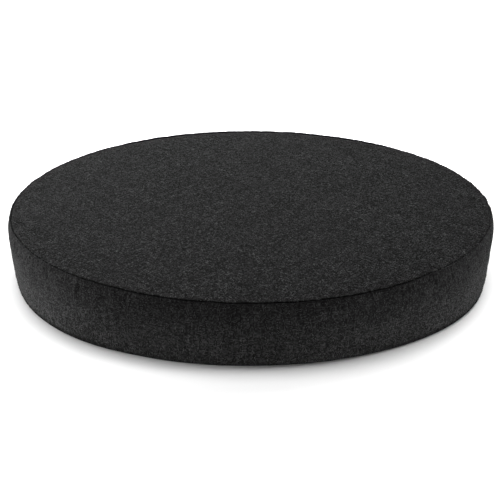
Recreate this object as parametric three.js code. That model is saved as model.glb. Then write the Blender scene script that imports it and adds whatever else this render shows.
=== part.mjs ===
// A round boxed seat cushion in dark slubby plain-weave cloth: a round top panel and a round bottom
// panel, each sewn edge to edge to a boxing strip that runs round the side, and filled tight.
// Millimetres, +Z up. The middle of the underside is the origin, and the cushion lies on z = 0.
import * as THREE from 'three';

// Driving dimensions
const cushionWidth = 406;      // across the boxing at its widest, just under the top seam
const seamHeight = 52;         // top seam above the surface that the cushion lies on
const crownRise = 2.5;         // middle of the top panel above its seam
const clothThickness = 1.5;    // one layer of the cloth with its sewn edge
const pieceGap = 0.3;          // between two pieces that are sewn together
const topSeamInset = 2.9;      // top seam inside the boxing's widest line
const bottomSeamInset = 5.6;   // bottom seam inside it, tucked under the edge
const seamDepth = 2.6;         // the panel's turned edge goes this far down into the top seam
const edgeRoll = 1.4;          // radius of that turned edge
const lipDrop = 0.9;           // inner corner of the boxing's upper edge below the seam's height
const lipLean = 0.2;           // how far that corner leans out from the seam's wall
const cutCorner = 0.3;         // small corner cut where a face meets a seam's wall
const waveDepth = 0.5;         // soft unevenness of the boxing's side, as filled cloth has
const turnSteps = 96;          // facets round the cushion

const widestRadius = cushionWidth / 2;
const topSeamRadius = widestRadius - topSeamInset;
const bottomSeamRadius = widestRadius - bottomSeamInset;
const underPanel = clothThickness + pieceGap;

// The boxing's side from the bottom seam's roll to the top seam's roll: how high each row is, as a
// share of the seam height, and how far inside the widest line it lies, in millimetres.
const sideRows = [
  { height: 0.006, inset: 4.9 },
  { height: 0.012, inset: 3.9 },
  { height: 0.040, inset: 2.9 },
  { height: 0.100, inset: 2.5 },
  { height: 0.220, inset: 2.2 },
  { height: 0.380, inset: 1.4 },
  { height: 0.550, inset: 0.7 },
  { height: 0.700, inset: 0.2 },
  { height: 0.830, inset: 0.0 },
  { height: 0.920, inset: 0.4 },
  { height: 0.965, inset: 1.1 },
  { height: 0.988, inset: 2.0 },
];

// Where the crown has its rows, as shares of the top seam's radius
const crownShares = [0.4, 0.65, 0.85, 0.95, 0.975];

// Cloth, matt and nearly black, one material for each piece
function clothMaterial(color) {
  return new THREE.MeshStandardMaterial({ color, roughness: 0.95, metalness: 0 });
}

// Height of the top panel's upper face above the surface, flat in the middle and falling at the edge
function crownHeight(radius) {
  const share = Math.min(radius / topSeamRadius, 1);
  return seamHeight + crownRise * (1 - share ** 5);
}

// Rows of the crown, from the middle outwards, on a face that lies a depth under the upper face
function crownRows(depth) {
  return crownShares.map((share) => {
    const radius = share * topSeamRadius;
    return [radius, crownHeight(radius) - depth];
  });
}

// How far the boxing's side stands in or out at an angle, from -1 to 1, the same on opposite sides
function softWaves(angle) {
  const slow = Math.sin(4 * angle + 0.7);
  const middle = Math.sin(6 * angle + 2.1);
  const quick = Math.sin(14 * angle + 4.4);
  return 0.45 * slow + 0.35 * middle + 0.2 * quick;
}

// A closed solid of revolution about Z from a profile of [radius, height] rows, from axis to axis
function turned(rows) {
  const profile = rows.map(([radius, height]) => new THREE.Vector2(radius, height));
  const geometry = new THREE.LatheGeometry(profile, turnSteps);
  geometry.rotateX(Math.PI / 2);
  return geometry;
}

// Lets the boxing's side wave a little in and out, and leaves its seams and its other faces
function letSideWave(geometry) {
  const place = geometry.getAttribute('position');
  const seamLine = widestRadius - sideRows[1].inset;
  const topRow = sideRows.at(-1).height;
  for (let i = 0; i < place.count; i += 1) {
    const x = place.getX(i);
    const y = place.getY(i);
    const radius = Math.hypot(x, y);
    const share = place.getZ(i) / seamHeight;
    if (radius >= seamLine && share <= topRow) {
      const reach = waveDepth * Math.sin(Math.PI * share) * softWaves(Math.atan2(y, x));
      place.setXY(i, x * (1 + reach / radius), y * (1 + reach / radius));
    }
  }
  geometry.computeVertexNormals();
}

function piece(name, geometry, color) {
  const mesh = new THREE.Mesh(geometry, clothMaterial(color));
  mesh.name = name;
  return mesh;
}

// The bottom panel: a flat round of cloth that the cushion lies on, its edge slightly rounded
function bottomPanel() {
  return piece('bottom_panel', turned([
    [0, 0],
    [bottomSeamRadius - cutCorner, 0],
    [bottomSeamRadius, cutCorner],
    [bottomSeamRadius, clothThickness - cutCorner],
    [bottomSeamRadius - cutCorner, clothThickness],
    [0, clothThickness],
  ]), 0x2c2c2c);
}

// The boxing strip and the filling that it holds, one filled solid. It lies on the bottom panel,
// its side swells from the bottom seam to its widest line and draws in to the top seam, and its
// upper face carries the top panel's crown.
function boxingBand() {
  const bottomWall = bottomSeamRadius + pieceGap;
  const seamFloor = seamHeight - seamDepth - pieceGap;
  const outerWall = topSeamRadius + pieceGap;
  const innerWall = topSeamRadius - underPanel;
  const side = sideRows.map(({ height, inset }) => [widestRadius - inset, height * seamHeight]);
  const geometry = turned([
    [0, underPanel],
    [bottomWall - cutCorner, underPanel],
    [bottomWall, underPanel - cutCorner],
    [bottomWall, 2 * cutCorner],
    ...side,
    [outerWall + lipLean, seamHeight - lipDrop],
    [outerWall, seamFloor + cutCorner],
    [outerWall - cutCorner, seamFloor],
    [innerWall + cutCorner, seamFloor],
    [innerWall, seamFloor + cutCorner],
    ...crownRows(underPanel).reverse(),
    [0, seamHeight + crownRise - underPanel],
  ]);
  letSideWave(geometry);
  return piece('boxing_band', geometry, 0x262626);
}

// The top panel: a round of cloth over the filling's crown, its edge turned down into the seam
function topPanel() {
  const shoulder = topSeamRadius - edgeRoll;
  const turnedEnd = seamHeight - seamDepth;
  const innerWall = topSeamRadius - clothThickness;
  const rollMiddle = crownHeight(shoulder) - edgeRoll;
  const roll = [0, 30, 60].map((degrees) => {
    const angle = THREE.MathUtils.degToRad(degrees);
    return [shoulder + edgeRoll * Math.cos(angle), rollMiddle + edgeRoll * Math.sin(angle)];
  });
  return piece('top_panel', turned([
    [0, seamHeight + crownRise - clothThickness],
    ...crownRows(clothThickness),
    [innerWall, turnedEnd + cutCorner],
    [innerWall + cutCorner, turnedEnd],
    [topSeamRadius - cutCorner, turnedEnd],
    ...roll,
    ...crownRows(0).reverse(),
    [0, seamHeight + crownRise],
  ]), 0x303030);
}

const cushion = new THREE.Group();
cushion.add(bottomPanel(), boxingBand(), topPanel());

export default cushion;
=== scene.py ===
"""A round boxed seat cushion in dark slubby linen-look cloth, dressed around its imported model."""
import math

import bpy
import numpy as np
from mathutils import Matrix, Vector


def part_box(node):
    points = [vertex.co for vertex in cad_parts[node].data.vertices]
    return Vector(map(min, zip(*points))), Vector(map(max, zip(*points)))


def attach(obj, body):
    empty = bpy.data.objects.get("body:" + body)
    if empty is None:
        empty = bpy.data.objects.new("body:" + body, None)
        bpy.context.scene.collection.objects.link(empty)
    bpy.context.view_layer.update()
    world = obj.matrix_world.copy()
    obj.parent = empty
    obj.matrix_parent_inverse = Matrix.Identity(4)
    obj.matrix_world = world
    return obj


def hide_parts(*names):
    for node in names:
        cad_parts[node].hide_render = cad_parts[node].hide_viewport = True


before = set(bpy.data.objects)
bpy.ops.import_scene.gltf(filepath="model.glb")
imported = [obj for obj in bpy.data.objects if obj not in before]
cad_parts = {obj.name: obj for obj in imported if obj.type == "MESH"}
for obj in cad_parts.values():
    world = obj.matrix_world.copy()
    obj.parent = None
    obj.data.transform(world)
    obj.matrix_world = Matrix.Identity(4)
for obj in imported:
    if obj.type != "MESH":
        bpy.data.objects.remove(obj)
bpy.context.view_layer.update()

bpy.ops.object.select_all(action="DESELECT")

# The boxing: a straight strip of cloth sewn into a ring, round the filling that it holds. It is one
# closed filled form. Its side swells from the bottom seam to its widest line just under the top seam,
# and its upper edge is drawn in and down by the top seam's stitches, which leave small puckers.
mm = 0.001
seam_height = 52 * mm
widest_radius = 203 * mm
top_seam_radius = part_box("top_panel")[1][0]
bottom_seam_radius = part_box("bottom_panel")[1][0]
cloth_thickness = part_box("bottom_panel")[1][2]
piece_gap = 0.3 * mm
crown_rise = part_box("top_panel")[1][2] - seam_height
stitches = 360
columns_per_stitch = 4
columns = stitches * columns_per_stitch
hidden_columns = 72
quarter = columns // 4

# The boxing's side from the bottom seam up to the top seam's roll: the height as a share of the seam's
# height, and how far it lies inside the solid's widest line, or outside it where less than nothing.
side_marks = [
    {"height": 0.006, "inset": 4.9 * mm},
    {"height": 0.012, "inset": 3.9 * mm},
    {"height": 0.040, "inset": 2.9 * mm},
    {"height": 0.100, "inset": 2.5 * mm},
    {"height": 0.220, "inset": 2.1 * mm},
    {"height": 0.380, "inset": 1.0 * mm},
    {"height": 0.550, "inset": 0.35 * mm},
    {"height": 0.700, "inset": -0.15 * mm},
    {"height": 0.830, "inset": -0.3 * mm},
    {"height": 0.920, "inset": 0.15 * mm},
    {"height": 0.965, "inset": 0.95 * mm},
]
row_step = 1.5 * mm
ring_tolerance = 0.02 * mm
lip_roll = 0.65 * mm
lip_lean = 0.3 * mm
lip_crest = seam_height - 0.25 * mm
seam_floor = seam_height - 2.9 * mm
chance = np.random.default_rng(11)


def crown_height(radius):
    """Height of the top panel's upper face, flat in the middle and falling towards its edge."""
    return seam_height + crown_rise * (1 - min(radius / top_seam_radius, 1) ** 5)


def smooth_side():
    """The side's rows as (radius, height), on a smooth curve through the marks."""
    marks = [(widest_radius - mark["inset"], mark["height"] * seam_height) for mark in side_marks]
    marks = np.array(marks)
    ends = 2 * marks[[0, -1]] - marks[[1, -2]]
    points = np.vstack([ends[:1], marks, ends[1:]])
    rows = []
    for before, start, end, after in zip(points, points[1:], points[2:], points[3:]):
        steps = max(1, round(math.dist(start, end) / row_step))
        for share in np.arange(steps) / steps:
            curve = 2 * start + (end - before) * share
            curve += (2 * before - 5 * start + 4 * end - after) * share ** 2
            curve += (3 * start - before - 3 * end + after) * share ** 3
            rows.append(tuple(curve / 2))
    rows.append(tuple(marks[-1]))
    return rows


def arc_rows(centre, radius, first, last, count):
    """Rows on an arc in the half section, its angles in degrees up from the outward direction."""
    angles = np.radians(np.linspace(first, last, count))
    return [(centre[0] + radius * math.cos(a), centre[1] + radius * math.sin(a)) for a in angles]


def points_of(piece):
    """The piece's vertices as an array of places."""
    places = np.empty(len(piece.data.vertices) * 3)
    piece.data.vertices.foreach_get("co", places)
    return places.reshape(-1, 3)


def turned(name, rows, count):
    """Draws half of a section, row by row, and turns it round the upright axis in count steps.
    The attribute row numbers the rows from 0 in their order."""
    bpy.ops.object.select_all(action="DESELECT")
    radius, height = rows[0]
    bpy.ops.mesh.primitive_plane_add(size=mm, location=(radius, 0, height))
    piece = bpy.context.object
    piece.name = name
    bpy.ops.object.transform_apply(location=True, rotation=False, scale=False)
    bpy.ops.object.mode_set(mode="EDIT")
    bpy.ops.mesh.merge(type="CENTER")
    for here, there in zip(rows, rows[1:]):
        step = (there[0] - here[0], 0, there[1] - here[1])
        bpy.ops.mesh.extrude_region_move(TRANSFORM_OT_translate={"value": step})
    bpy.ops.object.mode_set(mode="OBJECT")
    drawn = points_of(piece)[:, [0, 2]]
    order = [np.abs(drawn - row).sum(axis=1).argmin() for row in rows]
    numbers = np.empty(len(rows), dtype=np.int32)
    numbers[order] = np.arange(len(rows))
    piece.data.attributes.new("row", "INT", "POINT").data.foreach_set("value", numbers)
    turn = piece.modifiers.new("turn", "SCREW")
    turn.steps = count
    turn.render_steps = count
    turn.use_merge_vertices = True
    turn.merge_threshold = 0.01 * mm
    bpy.ops.object.modifier_apply(modifier=turn.name)
    return piece


def numbers_of(piece, name):
    """A whole-number attribute of the piece's vertices."""
    values = np.empty(len(piece.data.vertices), dtype=np.int32)
    piece.data.attributes[name].data.foreach_get("value", values)
    return values


def sewn_on(piece, cap, piece_ring, cap_ring):
    """Joins a cap's mesh to the piece, and bridges their open rings, each given as radius and height."""
    bpy.ops.object.select_all(action="DESELECT")
    cap.select_set(True)
    piece.select_set(True)
    bpy.context.view_layer.objects.active = piece
    bpy.ops.object.join()
    places = points_of(piece)
    rings = np.stack([np.hypot(places[:, 0], places[:, 1]), places[:, 2]], axis=1)
    ends = np.empty(len(piece.data.edges) * 2, dtype=np.int32)
    piece.data.edges.foreach_get("vertices", ends)
    ends = ends.reshape(-1, 2)
    chosen = np.zeros(len(ends), dtype=bool)
    for ring in (piece_ring, cap_ring):
        on_ring = np.abs(rings - ring).max(axis=1) < ring_tolerance
        chosen |= on_ring[ends].all(axis=1)
    bpy.ops.object.mode_set(mode="EDIT")
    bpy.context.tool_settings.mesh_select_mode = (False, True, False)
    bpy.ops.mesh.select_all(action="DESELECT")
    bpy.ops.object.mode_set(mode="OBJECT")
    piece.data.edges.foreach_set("select", chosen)
    bpy.ops.object.mode_set(mode="EDIT")
    bpy.ops.mesh.bridge_edge_loops(type="SINGLE")
    bpy.context.tool_settings.mesh_select_mode = (True, False, False)
    bpy.ops.object.mode_set(mode="OBJECT")


def finished(piece):
    """Turns all faces outwards and shades them smoothly."""
    bpy.ops.object.select_all(action="DESELECT")
    piece.select_set(True)
    bpy.context.view_layer.objects.active = piece
    bpy.ops.object.mode_set(mode="EDIT")
    bpy.ops.mesh.select_all(action="SELECT")
    bpy.ops.mesh.normals_make_consistent(inside=False)
    bpy.ops.object.mode_set(mode="OBJECT")
    bpy.ops.object.shade_smooth()


def ring_noise(low, high):
    """Seeded noise round the cushion, one value a column, with so many waves in a turn."""
    turns = np.arange(columns) / columns * 2 * math.pi
    waves = np.arange(low, high + 1)
    size = chance.normal(size=(2, len(waves)))
    noise = size[0] @ np.cos(np.outer(waves, turns)) + size[1] @ np.sin(np.outer(waves, turns))
    return noise / noise.std()


def fading(distance, reach, middle=0.0):
    """1 at the middle, and fading to nothing on both sides of it, most of the way within the reach."""
    return np.exp(-((distance - middle) / reach) ** 2)


# What the top seam does to the cloth on both of its sides, at each column round the cushion. The seam
# sways and lifts a little. It pulls at the front and at the back, and sinks deepest at the back, where
# the boxing's edge also stands higher. At the right end the two edges lie close together.
seam_sway = 0.17 * mm * ring_noise(12, 60)
seam_lift = 0.06 * mm * ring_noise(15, 90)
column_turns = np.arange(columns) / columns * 2 * math.pi
to_back = np.sin(column_turns)
to_right = np.cos(column_turns)
seam_pull = np.clip((np.abs(to_back) - 0.7) / 0.15, 0, 1)
seam_depth = seam_pull * (to_back > 0)
lip_stand = 0.4 * mm * to_back + 0.25 * mm - 0.25 * mm * to_right ** 4
seam_shut = 0.45 * mm * np.clip(1.4 * to_right, 0, 1) * (1 - seam_pull)

# Each stitch grips a little more or less than the next, and the cloth dips most at its first column
stitch_grip = 0.75 + 0.25 * np.repeat(chance.normal(size=stitches), columns_per_stitch)
stitch_grip = np.clip(stitch_grip, 0.2, 1.3)
column_in_stitch = np.arange(columns) % columns_per_stitch
stitch_dip = stitch_grip * (0.5 + 0.5 * np.cos(2 * math.pi * column_in_stitch / columns_per_stitch))
stitch_pinch = 0.12 * mm
stitch_sink = 0.2 * mm
stitch_place = 1.2 * mm
stitch_reach = 1.1 * mm
sway_reach = 7 * mm
shut_reach = 1.2 * mm

# Where the seam is drawn further in and the filling holds it up: the angle from the +X side and how far
# round it reaches, in degrees
seam_draws = [
    {"at": 214, "reach": 22, "inwards": 0.5 * mm, "up": 0.2 * mm},
    {"at": 238, "reach": 8, "inwards": 0.3 * mm, "up": 0.3 * mm},
    {"at": 312, "reach": 11, "inwards": 0.7 * mm, "up": 0.3 * mm},
]
for draw in seam_draws:
    nearness = fading(np.degrees(column_turns), draw["reach"], draw["at"])
    seam_sway -= draw["inwards"] * nearness
    seam_lift += draw["up"] * nearness

# The cushion isn't quite round: its outline stands out and in by so much, in so many waves round it,
# the first of them at an angle in degrees from the +X side, and its foot by so much more. The foot also
# spreads a little all round.
outline_waves = [
    {"waves": 1, "size": 0 * mm, "at": 0, "foot_size": 0.35 * mm, "foot_at": -10},
    {"waves": 2, "size": 0.45 * mm, "at": 81, "foot_size": 0.25 * mm, "foot_at": -25},
    {"waves": 3, "size": 0.3 * mm, "at": -17, "foot_size": 0.7 * mm, "foot_at": -15},
    {"waves": 4, "size": 0.3 * mm, "at": 24, "foot_size": 1.4 * mm, "foot_at": 43},
]
foot_spread = 0.45 * mm

# Where the filling presses the foot further out or lets it lie further in, at angles as before
foot_draws = [
    {"at": 188, "reach": 6, "outwards": 1.2 * mm},
    {"at": 199, "reach": 8, "outwards": -1.0 * mm},
    {"at": 229, "reach": 9, "outwards": 0.6 * mm},
    {"at": 245, "reach": 5, "outwards": -0.5 * mm},
    {"at": 274, "reach": 9, "outwards": -0.6 * mm},
    {"at": 298, "reach": 12, "outwards": -1.0 * mm},
    {"at": 326, "reach": 11, "outwards": 0.8 * mm},
    {"at": 342, "reach": 6, "outwards": -0.9 * mm},
]


def out_of_round(places):
    """How far each vertex moves outwards so that the outline is as uneven as the real one."""
    turns = np.arctan2(places[:, 1], places[:, 0])
    foot = np.clip(1 - places[:, 2] / seam_height, 0, 1)
    push = foot * foot_spread
    for draw in foot_draws:
        push += foot * draw["outwards"] * fading(np.degrees(turns) % 360, draw["reach"], draw["at"])
    for wave in outline_waves:
        push += wave["size"] * np.cos(wave["waves"] * (turns - math.radians(wave["at"])))
        push += foot * wave["foot_size"] * np.cos(wave["waves"] * (turns - math.radians(wave["foot_at"])))
    return push * np.hypot(places[:, 0], places[:, 1]) / widest_radius


def column_of(places, count=columns):
    """Each vertex's column out of count, counted round the cushion from its +X side."""
    turns = np.arctan2(places[:, 1], places[:, 0]) / (2 * math.pi)
    return np.round(turns * count).astype(int) % count


def moved(piece, outward, upward):
    """Moves each vertex away from the upright axis and up by distances, and by the outline's own."""
    places = points_of(piece)
    radii = np.hypot(places[:, 0], places[:, 1])
    outward = outward + out_of_round(places)
    places[:, :2] *= (1 + outward / np.maximum(radii, mm))[:, None]
    places[:, 2] += upward
    piece.data.vertices.foreach_set("co", places.ravel())
    piece.data.update()


def run_along(rows):
    """How far each row lies along its section from the first row."""
    steps = np.hypot(*np.diff(np.array(rows), axis=0).T)
    return np.concatenate([[0], np.cumsum(steps)])


under_panel = cloth_thickness + piece_gap
bottom_wall = bottom_seam_radius + piece_gap
outer_wall = top_seam_radius + piece_gap
inner_wall = top_seam_radius - under_panel
cap_edge = top_seam_radius - 8 * mm
cap_ring = top_seam_radius - 26 * mm
cap_margin = 0.1 * mm
below_side = [
    (cap_edge, under_panel),
    (bottom_wall - piece_gap, under_panel),
    (bottom_wall, under_panel - piece_gap),
    (bottom_wall, 2 * piece_gap),
]
lip = arc_rows((outer_wall + lip_lean + lip_roll, lip_crest - lip_roll), lip_roll, 25, 180, 8)
in_seam = [
    (outer_wall, seam_floor + piece_gap),
    (outer_wall - piece_gap, seam_floor),
    (inner_wall + piece_gap, seam_floor),
    (inner_wall, seam_floor + piece_gap),
    (inner_wall, crown_height(inner_wall) - under_panel),
    (cap_edge, crown_height(cap_edge) - under_panel),
]
side = smooth_side()

# The cloth's own gathers come from a cloth simulation on a coarser copy of the whole cushion. It is held
# at its seams and in its middle, the filling presses it outwards, and the cloth is a little too large
# for the rings that hold it.
swell_columns = 720
swell_step = 3.5 * mm
swell_frames = 20
swell_most = 1 * mm
upward_share = 0.45
first_unevenness = 0.05 * mm
cloth_excess = 0.02
side_run = run_along(side)
side_at = np.linspace(0, side_run[-1], round(side_run[-1] / swell_step) + 1)
swell_side = [np.interp(side_at, side_run, values) for values in np.array(side).T]
swell_side = np.stack(swell_side, axis=1).tolist()
swell_under = [(0, 0), (90 * mm, 0), (bottom_seam_radius - 4 * mm, 0), (bottom_seam_radius, 0.2 * mm)]
swell_seam = [(top_seam_radius, seam_height - 0.8 * mm)]
rim_radii = np.arange(top_seam_radius - swell_step, 150 * mm, -swell_step)
swell_rim = [(r, crown_height(r)) for r in rim_radii]
swell_middle = [(r, crown_height(r)) for r in (120 * mm, 80 * mm, 40 * mm, 0)]
swell_rows = swell_under + swell_side + swell_seam + swell_rim + swell_middle
seam_row = len(swell_under) + len(swell_side)
swell_at = run_along(swell_rows) - run_along(swell_rows)[seam_row]
swell_out = np.zeros((len(swell_rows), columns))
swell_up = np.zeros((len(swell_rows), columns))
filled = turned("filled_form", swell_rows, swell_columns)
finished(filled)
row = numbers_of(filled, "row")
flat_cloth = points_of(filled)
column = column_of(flat_cloth, swell_columns)
loose = (row > len(swell_under)) & (row != seam_row) & (row < seam_row + len(swell_rim))
facing = np.empty(len(flat_cloth) * 3)
filled.data.vertices.foreach_get("normal", facing)
unevenness = first_unevenness * chance.normal(size=len(flat_cloth)) * loose
uneven_cloth = flat_cloth + facing.reshape(-1, 3) * unevenness[:, None]
filled.data.vertices.foreach_set("co", uneven_cloth.ravel())
held = filled.vertex_groups.new(name="held")
held.add(np.flatnonzero(~loose).tolist(), 1.0, "ADD")
swelling = filled.modifiers.new("swelling", "CLOTH")
swelling.settings.mass = 0.3
swelling.settings.tension_stiffness = 40
swelling.settings.compression_stiffness = 40
swelling.settings.shear_stiffness = 5
swelling.settings.bending_stiffness = 0.05
swelling.settings.use_pressure = True
swelling.settings.uniform_pressure_force = 4
swelling.settings.effector_weights.gravity = 0
swelling.settings.vertex_group_mass = held.name
swelling.settings.shrink_min = -cloth_excess
swelling.collision_settings.use_collision = False
swelling.point_cache.frame_start = 1
swelling.point_cache.frame_end = swell_frames
for step in range(swell_frames):
    bpy.context.scene.frame_set(step + 1)
bpy.ops.object.modifier_apply(modifier=swelling.name)
bpy.context.scene.frame_set(1)
shift = points_of(filled) - flat_cloth
radii = np.maximum(np.hypot(flat_cloth[:, 0], flat_cloth[:, 1]), mm)
shift_out = (shift[:, 0] * flat_cloth[:, 0] + shift[:, 1] * flat_cloth[:, 1]) / radii
for moves, values in ((swell_out, shift_out), (swell_up, shift[:, 2])):
    ring = np.zeros((len(swell_rows), swell_columns))
    ring[row, column] = values
    ring = np.clip(ring - ring.mean(axis=1, keepdims=True), -swell_most, swell_most)
    moves[:] = np.fft.irfft(np.fft.rfft(ring, axis=1), columns, axis=1) * columns / swell_columns
swell_up *= upward_share
bpy.data.objects.remove(filled)


def gathered(column, beyond_seam):
    """How far the simulated cloth lies outwards and up at each vertex, by its column and by its distance
    along the section from the top seam, less than nothing on the side and more on the top."""
    place = np.interp(beyond_seam, swell_at, np.arange(len(swell_at)))
    before = np.minimum(place.astype(int), len(swell_at) - 2)
    share = place - before
    gathers = []
    for moves in (swell_out, swell_up):
        gathers.append((1 - share) * moves[before, column] + share * moves[before + 1, column])
    return gathers


boxing_rows = below_side + side + lip + in_seam
boxing = turned("boxing", boxing_rows, columns)
cap_radii = np.linspace(cap_ring, 0, 8)
upper_cap = turned("upper_cap", [(r, crown_height(r) - under_panel) for r in cap_radii], hidden_columns)
sewn_on(boxing, upper_cap, boxing_rows[-1], (cap_ring, crown_height(cap_ring) - under_panel))
lower_cap = turned("lower_cap", [(r, under_panel) for r in cap_radii[[0, 4, 7]]], hidden_columns)
sewn_on(boxing, lower_cap, boxing_rows[0], (cap_ring, under_panel))
finished(boxing)

# Each vertex's row, column and distance along the section from the top seam. Row numbers don't count in
# the two hidden caps.
along = run_along(boxing_rows)
first_lip = len(below_side) + len(side)
seam_at = along[first_lip + len(lip) - 1]
places = points_of(boxing)
row = numbers_of(boxing, "row")
hidden = np.hypot(places[:, 0], places[:, 1]) < cap_edge - cap_margin
row[hidden] = 0
column = column_of(places)
from_seam = np.abs(along[row] - seam_at)
on_side = (row >= len(below_side)) & (row < first_lip + len(lip)) & ~hidden

# The seam and its stitches move the cloth, and so do the gathers
near_seam = fading(from_seam, sway_reach) * on_side
at_lip = fading(from_seam, stitch_reach, stitch_place) * on_side
outward, upward = [moves * on_side for moves in gathered(column, -from_seam)]
outward += seam_sway[column] * near_seam + stitch_pinch * stitch_dip[column] * at_lip
outward -= seam_shut[column] * fading(from_seam, shut_reach) * on_side
upward += seam_lift[column] * near_seam + (lip_stand[column] - stitch_sink * stitch_dip[column]) * at_lip

# The strip's two ends meet in a plain upright seam at the back
join_reach = 0.9 * mm
join_sink = 0.5 * mm
from_join = (column - quarter) * 2 * math.pi * widest_radius / columns
join = fading(from_join, join_reach) * on_side
outward -= join_sink * join
moved(boxing, outward, upward)


def point_attribute(piece, name, values):
    """A number at each vertex that a material can read."""
    piece.data.attributes.new(name, "FLOAT", "POINT").data.foreach_set("value", values)


# In the seam the cloth turns under, and little light reaches it, least of all at the stitches: that shade
# is painted into the cloth's colour. It is drawn tightest at the front and at the back, where it is
# deepest too, and the painted shade is darkest at both. At the foot the cloth turns under as well, and
# painted shade darkens its lowest few millimetres, more so at the two ends.
seam_reach = (0.8 + 0.4 * stitch_dip + 0.8 * seam_depth) * mm
# How dark the painted seam shade is at each column
seam_shade_strength = 0.06 + 0.9 * seam_pull * seam_pull * (3 - 2 * seam_pull)
painted_shade = np.clip(2 - from_seam / seam_reach[column], 0, 1) * seam_shade_strength[column] * on_side
# Painted shade along the lowest 3 to 5.5 mm of the side, fading above, darker and higher at the two ends
at_end = np.clip((np.abs(to_right[column]) - 0.3) / 0.5, 0, 1)
foot_shade_height = (3.2 + 2.3 * at_end) * mm
foot_shade_fade = 1.5 * mm
foot_shade = np.clip((foot_shade_height - points_of(boxing)[:, 2]) / foot_shade_fade, 0, 1) * ~hidden
foot_shade *= 0.2 + 0.6 * at_end
# Painted shade in the closing seam at the back
join_shade = 0.75 * join
point_attribute(boxing, "painted_shade", np.maximum(np.maximum(painted_shade, join_shade), foot_shade))


def corners_of(piece):
    """The vertex of each face corner, and the first corner and the number of corners of each face."""
    corner = np.empty(len(piece.data.loops), dtype=np.int32)
    piece.data.loops.foreach_get("vertex_index", corner)
    start = np.empty(len(piece.data.polygons), dtype=np.int32)
    piece.data.polygons.foreach_get("loop_start", start)
    total = np.empty(len(piece.data.polygons), dtype=np.int32)
    piece.data.polygons.foreach_get("loop_total", total)
    return corner, start, total


def face_wide(values, start, total, pick):
    """The least or greatest of a value over each face's corners, given back to its corners."""
    return np.repeat(pick.reduceat(values, start), total)


def uv_map(piece, name, across, up):
    """A new UV map from its two coordinates at each face corner."""
    layer = piece.data.uv_layers.new(name=name)
    layer.data.foreach_set("uv", np.stack([across, up], axis=1).ravel())
    return layer


def round_map(piece, corner, spread, in_corner, whole):
    """The bake's map of a round of cloth: its face as one round, and its hidden side as a small one in a
    corner. Spread is each face corner's distance from the middle, as a share of the whole radius."""
    places = points_of(piece)[corner]
    radii = np.maximum(np.hypot(places[:, 0], places[:, 1]), 0.001 * mm)
    spread = np.where(in_corner, radii / whole * 0.16, spread) / 2
    middle = np.where(in_corner, 0.085, 0.5)
    across = middle + spread * places[:, 0] / radii
    up = middle + spread * places[:, 1] / radii
    uv_map(piece, "OFBake", across, up)


# The strip's own map in metres, along the strip from its closing seam at the back, and up its section
corner, start, total = corners_of(boxing)
places = points_of(boxing)[corner]
turn = (column[corner] - quarter) % columns
low_turn = face_wide(turn, start, total, np.minimum)
high_turn = face_wide(turn, start, total, np.maximum)
past_join = (high_turn - low_turn > columns / 2) & (turn < columns / 2)
turn = turn + columns * past_join
low_turn = face_wide(turn, start, total, np.minimum)
in_cap = face_wide(hidden[corner].astype(int), start, total, np.maximum).astype(bool)
strip_length = 2 * math.pi * widest_radius
strip_along = np.where(in_cap, places[:, 0], turn / columns * strip_length)
strip_up = np.where(in_cap, places[:, 1], along[row[corner]])
strip_map = uv_map(boxing, "strip", strip_along, strip_up)
strip_map.active_render = True

# The bake's map: four quarter lengths of the strip above each other, and the caps as two small discs
margin = 0.01
strip_pitch = 0.2
strip_share = 0.19
disc_size = 0.08
quarter_number = low_turn // quarter
bake_along = margin + (turn - quarter * quarter_number) / quarter * (1 - 2 * margin)
bake_up = margin + quarter_number * strip_pitch + along[row[corner]] / along[-1] * strip_share
disc_scale = disc_size / (cap_edge * 1.01)
disc_middle = np.where(places[:, 2] > seam_height / 2, 0.1, 0.3)
bake_along = np.where(in_cap, disc_middle + places[:, 0] * disc_scale, bake_along)
bake_up = np.where(in_cap, 0.9 + places[:, 1] * disc_scale, bake_up)
uv_map(boxing, "OFBake", bake_along, bake_up)


class Signal:
    """One output of a material's node. Arithmetic on it adds Math nodes to the same material."""

    def __init__(self, tree, made=None, output=0):
        self.tree = tree
        self.made = made
        self.output = output

    def node(self, kind, settings, inputs, output=0):
        """Adds a node with its settings, and then the values or links of its sockets."""
        made = self.tree.nodes.new(kind)
        for name, value in settings.items():
            setattr(made, name, value)
        for name, value in inputs.items():
            if isinstance(value, Signal):
                self.tree.links.new(value.made.outputs[value.output], made.inputs[name])
            else:
                made.inputs[name].default_value = value
        return Signal(self.tree, made, output)

    def math(self, operation, *values):
        return self.node("ShaderNodeMath", {"operation": operation}, dict(enumerate(values)))

    def out(self, output):
        return Signal(self.tree, self.made, output)

    def __add__(self, other):
        return self.math("ADD", self, other)

    __radd__ = __add__

    def __sub__(self, other):
        return self.math("SUBTRACT", self, other)

    def __rsub__(self, other):
        return self.math("SUBTRACT", other, self)

    def __mul__(self, other):
        return self.math("MULTIPLY", self, other)

    __rmul__ = __mul__

    def __truediv__(self, other):
        return self.math("DIVIDE", self, other)

    def __pow__(self, other):
        return self.math("POWER", self, other)


# How far apart the yarns lie, and how much darker the painted shade of the seams and foot makes the cloth
yarn_pitch = 0.85 * mm
painted_shade_depth = 0.88


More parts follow.
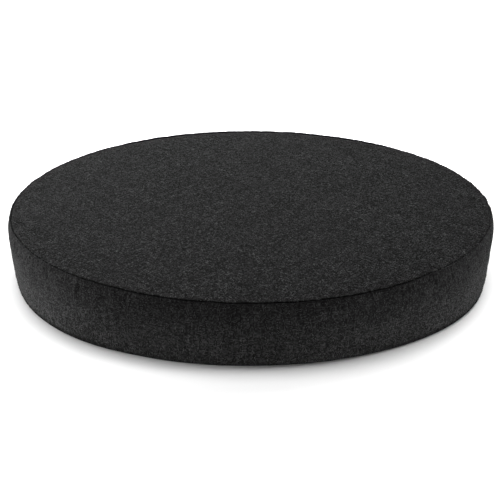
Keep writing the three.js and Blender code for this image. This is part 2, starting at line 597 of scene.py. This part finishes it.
def woven_cloth(name, map_name, turned_by, tone, slubs, flecks, relief, painted_foot_light=0.0):
    """Plain-weave slubby cloth on a UV map, or on Object coordinates where map_name is empty. Slubs and
    flecks say how strongly the yarns differ from each other, and each crossing from the next. Relief is
    the depth of the bump, and painted_foot_light says how much paler the cloth is painted at its foot, as
    painted light from below."""
    material = bpy.data.materials.new(name)
    material.use_nodes = True
    tree = material.node_tree
    skin = tree.nodes["Principled BSDF"]
    sheet = Signal(tree)
    if map_name:
        flat = sheet.node("ShaderNodeUVMap", {"uv_map": map_name}, {})
    else:
        flat = sheet.node("ShaderNodeTexCoord", {}, {}, "Object")
    flat = sheet.node("ShaderNodeMapping", {}, {"Vector": flat, "Rotation": (0, 0, turned_by)})
    flat = sheet.node("ShaderNodeVectorMath", {"operation": "SCALE"}, {0: flat, "Scale": 1 / yarn_pitch})
    sway = sheet.node("ShaderNodeTexNoise", {"noise_dimensions": "2D"},
                      {"Vector": flat, "Scale": 0.09, "Detail": 2.0, "Roughness": 0.6}, "Color")
    sway = sheet.node("ShaderNodeVectorMath", {"operation": "MULTIPLY_ADD"},
                      {0: sway, 1: (1.6, 1.6, 0), 2: (-0.8, -0.8, 0)})
    flat = sheet.node("ShaderNodeVectorMath", {"operation": "ADD"}, {0: flat, 1: sway})
    parts = sheet.node("ShaderNodeSeparateXYZ", {}, {"Vector": flat})
    across, along_warp = parts.out("X"), parts.out("Y")

    def yarn(over, run, lean):
        """One of the two sets of yarns: how high its surface stands, and its tint."""
        number = over.math("FLOOR", over)
        spot_sockets = {"X": number * 7.31 + lean, "Y": run * 0.2}
        spot = sheet.node("ShaderNodeCombineXYZ", {}, spot_sockets)
        slub = sheet.node("ShaderNodeTexNoise", {"noise_dimensions": "2D"},
                          {"Vector": spot, "Scale": 1.0, "Detail": 2.0, "Roughness": 0.6}, "Fac")
        own = sheet.node("ShaderNodeTexWhiteNoise", {"noise_dimensions": "1D"},
                         {"W": number + lean}, "Value")
        fat = (slub - 0.5) * 1.5 + 0.86
        off = (over - number - 0.5) * 2 / fat
        round_top = (1 - off * off).math("MAXIMUM", 1 - off * off, 0.0) ** 0.5
        side = 1 - 2 * number.math("FLOORED_MODULO", number, 2.0)
        wave = (run * math.pi).math("SINE", run * math.pi) * side
        tint = 1.2 + slubs * (own * 0.6 + (slub * 2) ** 3 * 0.6 - 1.0)
        return round_top, wave, tint

    warp_top, warp_wave, warp_tint = yarn(across, along_warp, 3.7)
    weft_top, weft_wave, weft_tint = yarn(along_warp, across, 91.3)
    warp_height = warp_top * (1 + 0.8 * warp_wave)
    weft_height = weft_top * (1 - 0.8 * weft_wave)
    warp_shows = warp_height.math("GREATER_THAN", warp_height, weft_height)
    height = warp_height.math("MAXIMUM", warp_height, weft_height)
    tint = weft_tint + warp_shows * (warp_tint - weft_tint)
    crossing = sheet.node("ShaderNodeVectorMath", {"operation": "FLOOR"}, {0: flat})
    fleck = sheet.node("ShaderNodeTexWhiteNoise", {"noise_dimensions": "2D"},
                       {"Vector": crossing}, "Value")
    fleck = sheet.node("ShaderNodeMapRange", {}, {"Value": fleck, "From Min": 0.25, "From Max": 0.75})
    tint = tint * (1 + flecks * (2 * fleck - 1))
    mottle = sheet.node("ShaderNodeTexNoise", {"noise_dimensions": "2D"},
                        {"Vector": flat, "Scale": 0.035, "Detail": 3.0, "Roughness": 0.6}, "Fac")
    # Painted shade between the yarns and painted light on their tops, by the height of the weave
    yarn_shading_sockets = {"Value": height, "From Min": 0.3, "From Max": 1.5, "To Min": 0.35, "To Max": 1.15}
    yarn_shading = sheet.node("ShaderNodeMapRange", {}, yarn_shading_sockets)
    shade = tint * yarn_shading * (0.75 + 0.5 * mottle) * tone
    # Painted shade in the seams, and along the boxing's foot, from the mesh's painted_shade attribute
    painted_shade = sheet.node("ShaderNodeAttribute", {"attribute_name": "painted_shade"}, {}, "Fac")
    shade = shade * (1 - painted_shade_depth * painted_shade)
    # The cloth is painted paler towards its foot, as painted light from below
    if painted_foot_light:
        place = sheet.node("ShaderNodeTexCoord", {}, {}, "Object")
        level = sheet.node("ShaderNodeSeparateXYZ", {}, {"Vector": place}, "Z")
        foot_light_sockets = {"Value": level, "From Min": 0.0, "From Max": 0.05, "To Min": 1 + painted_foot_light}
        foot_light_scale = sheet.node("ShaderNodeMapRange", {}, foot_light_sockets | {"To Max": 1.0})
        shade = shade * foot_light_scale
    colour = sheet.node("ShaderNodeCombineColor", {}, {"Red": shade, "Green": shade, "Blue": shade})
    bump = sheet.node("ShaderNodeBump", {}, {"Height": height, "Strength": 1.0, "Distance": relief})
    tree.links.new(colour.made.outputs[0], skin.inputs["Base Color"])
    tree.links.new(bump.made.outputs[0], skin.inputs["Normal"])
    skin.inputs["Roughness"].default_value = 0.9
    skin.inputs["Specular IOR Level"].default_value = 0.021
    return material


# The boxing's cloth is painted paler towards its foot, as painted light from below
boxing_skin = woven_cloth("boxing_cloth", "strip", turned_by=0.0, tone=0.0114, slubs=0.6, flecks=0.5,
                          relief=0.3 * mm, painted_foot_light=1.55)
boxing.data.materials.append(boxing_skin)
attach(boxing, "root")
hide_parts("boxing_band")

# The top panel: a round of the same cloth cut on the bias of the view, over the filling's crown.
# Its edge turns down into the seam that joins it to the boxing, right sides together.
panel_roll = 0.9 * mm
panel_shoulder = top_seam_radius - panel_roll
turned_end = seam_height - 2.6 * mm
middle_columns = 360
middle_edge = top_seam_radius - 16 * mm
rim_start = middle_edge + 1.5 * mm
upper_rows = [(r, crown_height(r)) for r in np.linspace(rim_start, panel_shoulder - 0.5 * mm, 12)]
roll_middle = crown_height(panel_shoulder) - panel_roll
roll_rows = arc_rows((panel_shoulder, roll_middle), panel_roll, 75, 0, 7)
wall_back = top_seam_radius - cloth_thickness
wall_rows = [
    (top_seam_radius, turned_end + piece_gap),
    (top_seam_radius - piece_gap, turned_end),
    (wall_back + piece_gap, turned_end),
    (wall_back, turned_end + piece_gap),
    (wall_back, crown_height(wall_back) - cloth_thickness),
    (cap_edge, crown_height(cap_edge) - cloth_thickness),
]
panel_rows = upper_rows + roll_rows + wall_rows
top_cloth = turned("top_cloth", panel_rows, columns)
middle_rows = [(r, crown_height(r)) for r in np.linspace(middle_edge, 0, 32)]
sewn_on(top_cloth, turned("top_middle", middle_rows, middle_columns), panel_rows[0], middle_rows[0])
under_rows = [(r, crown_height(r) - cloth_thickness) for r in cap_radii]
sewn_on(top_cloth, turned("top_under", under_rows, hidden_columns), panel_rows[-1], under_rows[0])
finished(top_cloth)

# Each vertex's distance along the section from the seam, on the rim by its row and further in by its
# radius. What lies beneath the face is hidden and stays where it is.
along = run_along(panel_rows)
last_roll = len(upper_rows) + len(roll_rows) - 1
seam_at = along[last_roll]
places = points_of(top_cloth)
radii = np.hypot(places[:, 0], places[:, 1])
row = numbers_of(top_cloth, "row")
inside = radii < rim_start - cap_margin
beneath = (row > last_roll + 1) & ~inside
beneath |= inside & (places[:, 2] < np.array([crown_height(r) for r in radii]) - cloth_thickness / 2)
row[inside] = 0
from_seam = np.where(inside, seam_at + rim_start - radii, np.abs(along[row] - seam_at))
column = column_of(places)
on_top = ~beneath

# The seam, its stitches and the gathers move the face, and the seam draws it further down at the back
gather_reach = 14 * mm
back_sink = 0.5 * mm
back_reach = 3.5 * mm
near_seam = fading(from_seam, sway_reach) * on_top
at_roll = fading(from_seam, stitch_reach, stitch_place) * on_top
at_rim = np.exp(-from_seam / gather_reach) * on_top
outward, upward = [moves * at_rim for moves in gathered(column, from_seam)]
outward += seam_sway[column] * near_seam - stitch_pinch * stitch_dip[column] * at_roll
upward += seam_lift[column] * near_seam - stitch_sink * stitch_dip[column] * at_roll
upward -= back_sink * seam_depth[column] * fading(from_seam, back_reach) * on_top
moved(top_cloth, outward, upward)
# Painted shade where the face turns down into the seam, fading onto the face, darkest at the front and
# back
painted_shade_fade = 0.7 * mm
seam_reach = (0.45 + 0.3 * stitch_dip + 2.2 * seam_depth) * mm
beyond_reach = np.maximum(from_seam - seam_reach[column], 0)
painted_shade = np.exp(-beyond_reach / painted_shade_fade) * seam_shade_strength[column] * on_top
point_attribute(top_cloth, "painted_shade", painted_shade)

# In the bake's map the turned edge lies outside the seam's ring, and the round leaves a margin
corner, start, total = corners_of(top_cloth)
hidden_face = face_wide(beneath[corner].astype(int), start, total, np.minimum).astype(bool)
whole = top_seam_radius + 4 * mm
within_seam = np.where(row[corner] > last_roll, -from_seam[corner], from_seam[corner])
spread = (whole - 2 * mm - within_seam) / whole
round_map(top_cloth, corner, spread * 0.98, hidden_face, whole)
top_skin = woven_cloth("top_cloth", "", turned_by=math.radians(45), tone=0.0069, slubs=2.0, flecks=0.95,
                       relief=0.2 * mm)
top_cloth.data.materials.append(top_skin)
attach(top_cloth, "root")
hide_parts("top_panel")

# The bottom panel: a flat round of the same cloth, sewn to the foot of the boxing. The cushion lies
# on it, and it doesn't show in the photograph.
edge_round = 0.4 * mm
bottom_rows = [
    (0, 0),
    *[(r, 0) for r in np.linspace(0, bottom_seam_radius - edge_round, 12)[1:]],
    *arc_rows((bottom_seam_radius - edge_round, edge_round), edge_round, -60, 0, 3),
    (bottom_seam_radius, cloth_thickness - piece_gap),
    (bottom_seam_radius - piece_gap, cloth_thickness),
    (bottom_seam_radius / 2, cloth_thickness),
    (0, cloth_thickness),
]
bottom_cloth = turned("bottom_cloth", bottom_rows, middle_columns)
finished(bottom_cloth)
moved(bottom_cloth, 0, 0)
corner, start, total = corners_of(bottom_cloth)
row = numbers_of(bottom_cloth, "row")[corner]
upper_side = face_wide(row, start, total, np.minimum) >= len(bottom_rows) - 3
spread = run_along(bottom_rows)[row] / bottom_seam_radius
round_map(bottom_cloth, corner, spread * 0.97, upper_side, bottom_seam_radius)
bottom_skin = woven_cloth("bottom_cloth", "", turned_by=math.radians(12), tone=0.0107, slubs=1.1,
                          flecks=0.4, relief=0.2 * mm)
bottom_cloth.data.materials.append(bottom_skin)
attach(bottom_cloth, "root")
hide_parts("bottom_panel")

# The studio: a plain white floor, softboxes overhead and low round the table, and a white room that only
# the camera sees
bpy.ops.mesh.primitive_plane_add(size=16, location=(0, 0, 0))
floor = bpy.context.object
floor.name = "floor"
white = bpy.data.materials.new("white_floor")
white.use_nodes = True
paint = white.node_tree.nodes["Principled BSDF"]
paint.inputs["Base Color"].default_value = (0.85, 0.85, 0.85, 1)
paint.inputs["Roughness"].default_value = 0.9
paint.inputs["Specular IOR Level"].default_value = 0.0
floor.data.materials.append(white)

# Far from the cushion the camera sees the floor as white as the room, and no other ray sees that glow
ground = Signal(white.node_tree)
reach = ground.node("ShaderNodeTexCoord", {}, {}, "Object")
reach = ground.node("ShaderNodeVectorMath", {"operation": "LENGTH"}, {0: reach}, "Value")
far = ground.node("ShaderNodeMapRange", {"interpolation_type": "SMOOTHSTEP"},
                  {"Value": reach, "From Min": 0.9, "From Max": 1.5})
looks = ground.node("ShaderNodeLightPath", {}, {}, "Is Camera Ray")
glow = ground.node("ShaderNodeEmission", {}, {"Color": (1, 1, 1, 1), "Strength": 1.0})
painted = Signal(white.node_tree, paint)
both = ground.node("ShaderNodeMixShader", {}, {0: far * looks, 1: painted, 2: glow})
ground_surface = white.node_tree.nodes["Material Output"].inputs["Surface"]
white.node_tree.links.new(both.made.outputs[0], ground_surface)


def soft_light(name, place, aim, width, height, power):
    """A rectangular softbox at a place, facing its aim."""
    bpy.ops.object.light_add(type="AREA", location=place)
    lamp = bpy.context.object
    lamp.name = name
    lamp.data.shape = "RECTANGLE"
    lamp.data.size = width
    lamp.data.size_y = height
    lamp.data.energy = power
    gaze = np.array(aim) - place
    lamp.rotation_euler = (
        math.atan2(math.hypot(gaze[0], gaze[1]), -gaze[2]),
        0,
        math.atan2(-gaze[0], gaze[1]),
    )
    lamp.visible_camera = False


# The softboxes overhead face the floor, and those round the table face the cushion. Each one's place is
# to the right of the cushion's middle, behind it and above the floor, and its power is in watts.
softboxes = [
    {"name": "overhead_middle", "place": (0.0, 0.2, 2.5), "size": (1.2, 1.2), "power": 40},
    {"name": "overhead_right", "place": (1.2, -0.1, 2.5), "size": (1.2, 0.6), "power": 21},
    {"name": "overhead_back", "place": (1.2, 2.0, 2.5), "size": (1.2, 1.1), "power": 63},
    {"name": "back_left", "place": (-1.0, 1.7, 0.75), "size": (0.9, 0.5), "power": 42},
    {"name": "low_back_left", "place": (-1.7, 1.0, 0.28), "size": (0.9, 0.4), "power": 62},
    {"name": "low_left", "place": (-2.0, 0.0, 0.28), "size": (0.9, 0.4), "power": 56},
    {"name": "low_front_right", "place": (1.7, -1.0, 0.28), "size": (0.9, 0.4), "power": 23},
    {"name": "low_back_right", "place": (1.7, 1.0, 0.28), "size": (0.9, 0.4), "power": 34},
    {"name": "behind", "place": (0.0, 0.6, 0.35), "size": (0.8, 0.1), "power": 4.4},
]
for box in softboxes:
    right, behind, height = box["place"]
    aim = (right, behind, 0) if height > 1 else (0, 0, seam_height / 2)
    soft_light(box["name"], box["place"], aim, *box["size"], box["power"])

world = bpy.data.worlds.new("studio")
world.use_nodes = True
bpy.context.scene.world = world
room = Signal(world.node_tree)
unseen = room.node("ShaderNodeBackground", {}, {"Color": (1, 1, 1, 1), "Strength": 0.0})
seen = room.node("ShaderNodeBackground", {}, {"Color": (1, 1, 1, 1), "Strength": 1.0})
looks = room.node("ShaderNodeLightPath", {}, {}, "Is Camera Ray")
both = room.node("ShaderNodeMixShader", {}, {0: looks, 1: unseen, 2: seen})
world.node_tree.links.new(both.made.outputs[0], world.node_tree.nodes["World Output"].inputs["Surface"])

# The camera stands in front, looking down on the cushion as in the photograph
focal_pixels = 1259.6
frame_pixels = 500
camera_place = (-0.00057, -1.0, 0.4264)
looks_down = 22.69
bpy.ops.object.camera_add(location=camera_place, rotation=(math.radians(90 - looks_down), 0, 0))
camera = bpy.context.object
camera.data.sensor_width = 36
camera.data.lens = focal_pixels / frame_pixels * camera.data.sensor_width
bpy.context.scene.camera = camera
bpy.context.scene.view_settings.view_transform = "Standard"
